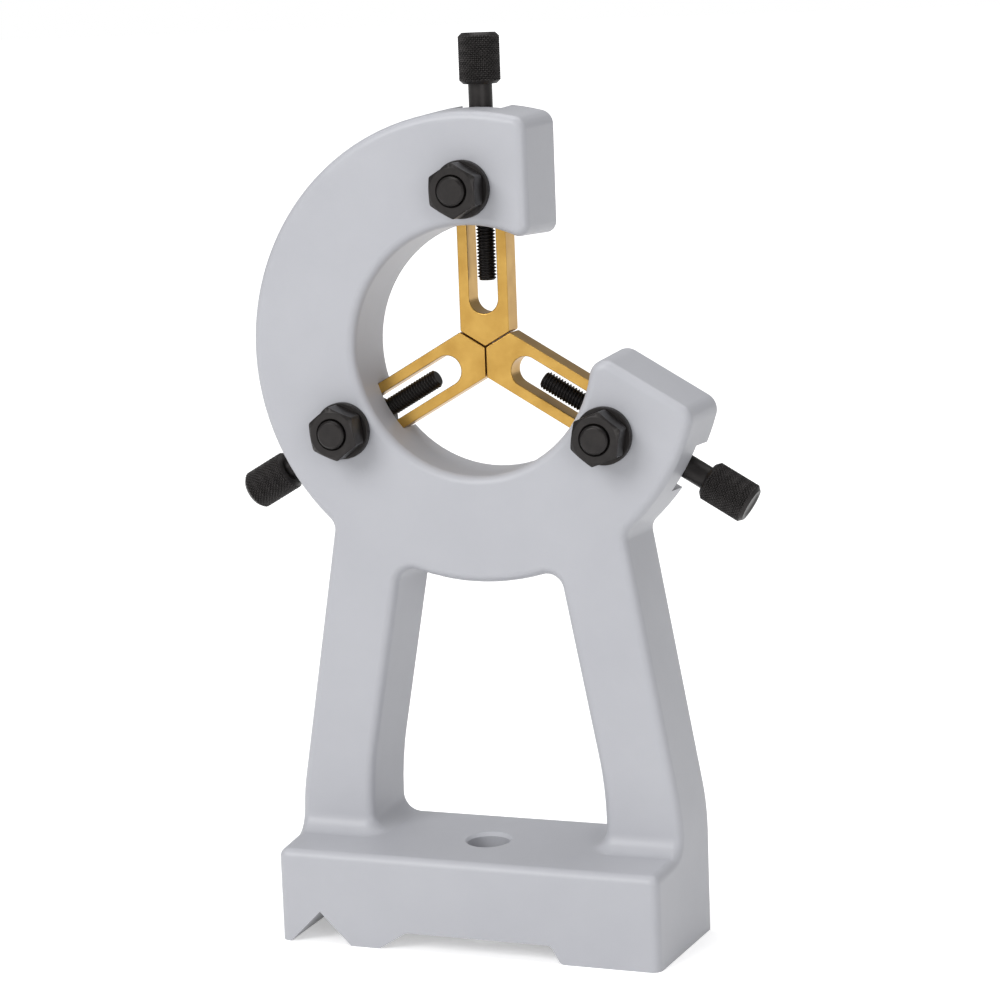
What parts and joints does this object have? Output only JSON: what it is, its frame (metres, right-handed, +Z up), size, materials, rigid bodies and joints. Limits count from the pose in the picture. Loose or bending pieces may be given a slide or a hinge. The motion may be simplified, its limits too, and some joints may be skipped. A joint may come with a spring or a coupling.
{
  "type": "steady rest",
  "caption": "Open C-shaped lathe steady rest with screw-adjusted brass fingers locked by nuts, on a footed casting with a vee way underneath.",
  "frame": {"origin": "on the flat foot's plane, straight below the spindle centre line and in the middle of the base's depth, on the clamp bolt hole's axis", "axes": "+Z up from the bed to the spindle centre line, +Y to the rear along the spindle axis, away from the lock nuts, +X toward the open side of the ring"},
  "size_m": [0.116, 0.0332, 0.1899],
  "materials": {
    "cast_paint": "satin light grey enamel on a sand casting",
    "brass": "milled, fine grain",
    "black_screw": "black oxide",
    "black_stud": "black oxide",
    "black_washer": "black oxide",
    "black_nut": "black oxide"
  },
  "bodies": {
    "frame": {"frame_casting": "cast_paint", "top_lock_stud": "black_stud", "top_clamp_washer": "black_washer", "left_lock_stud": "black_stud", "left_clamp_washer": "black_washer", "right_lock_stud": "black_stud", "right_clamp_washer": "black_washer"},
    "top_finger": {"top_finger": "brass"},
    "top_screw": {"top_adjusting_screw": "black_screw"},
    "top_washer": {"top_washer": "black_washer"},
    "top_nut": {"top_lock_nut": "black_nut"},
    "left_finger": {"left_finger": "brass"},
    "left_screw": {"left_adjusting_screw": "black_screw"},
    "left_washer": {"left_washer": "black_washer"},
    "left_nut": {"left_lock_nut": "black_nut"},
    "right_finger": {"right_finger": "brass"},
    "right_screw": {"right_adjusting_screw": "black_screw"},
    "right_washer": {"right_washer": "black_washer"},
    "right_nut": {"right_lock_nut": "black_nut"}
  },
  "joints": [
    {"name": "top_finger_slide", "type": "slide", "parent": "frame", "child": "top_finger", "axis": [0, 0, 1], "range_m": [0, 0.017]},
    {"name": "top_screw_turn", "type": "hinge", "parent": "top_finger", "child": "top_screw", "pos_m": [0, 0.01125, 0.167], "axis": [0, 0, 1], "range_deg": [0, 8743.1]},
    {"name": "top_washer_slide", "type": "slide", "parent": "frame", "child": "top_washer", "axis": [0, -1, 0], "range_m": [0, 0.0005]},
    {"name": "top_nut_turn", "type": "hinge", "parent": "top_washer", "child": "top_nut", "pos_m": [0, -0.0046, 0.1585], "axis": [0, -1, 0], "range_deg": [0, 180.1]},
    {"name": "left_finger_slide", "type": "slide", "parent": "frame", "child": "left_finger", "axis": [-0.866, 0, -0.5], "range_m": [0, 0.017]},
    {"name": "left_screw_turn", "type": "hinge", "parent": "left_finger", "child": "left_screw", "pos_m": [-0.03637, 0.01125, 0.104], "axis": [-0.866, 0, -0.5], "range_deg": [0, 8743.1]},
    {"name": "left_washer_slide", "type": "slide", "parent": "frame", "child": "left_washer", "axis": [0, -1, 0], "range_m": [0, 0.0005]},
    {"name": "left_nut_turn", "type": "hinge", "parent": "left_washer", "child": "left_nut", "pos_m": [-0.02901, -0.0046, 0.10825], "axis": [0, -1, 0], "range_deg": [0, 180.1]},
    {"name": "right_finger_slide", "type": "slide", "parent": "frame", "child": "right_finger", "axis": [0.866, 0, -0.5], "range_m": [0, 0.017]},
    {"name": "right_screw_turn", "type": "hinge", "parent": "right_finger", "child": "right_screw", "pos_m": [0.03637, 0.01125, 0.104], "axis": [0.866, 0, -0.5], "range_deg": [0, 8743.1]},
    {"name": "right_washer_slide", "type": "slide", "parent": "frame", "child": "right_washer", "axis": [0, -1, 0], "range_m": [0, 0.0005]},
    {"name": "right_nut_turn", "type": "hinge", "parent": "right_washer", "child": "right_nut", "pos_m": [0.02901, -0.0046, 0.10825], "axis": [0, -1, 0], "range_deg": [0, 180.1]}
  ],
  "couplings": [
    {"joint": "top_screw_turn", "follows": "top_finger_slide", "rad_per_m": 8976},
    {"joint": "top_nut_turn", "follows": "top_washer_slide", "rad_per_m": 6283.2},
    {"joint": "left_screw_turn", "follows": "left_finger_slide", "rad_per_m": 8976},
    {"joint": "left_nut_turn", "follows": "left_washer_slide", "rad_per_m": 6283.2},
    {"joint": "right_screw_turn", "follows": "right_finger_slide", "rad_per_m": 8976},
    {"joint": "right_nut_turn", "follows": "right_washer_slide", "rad_per_m": 6283.2}
  ]
}
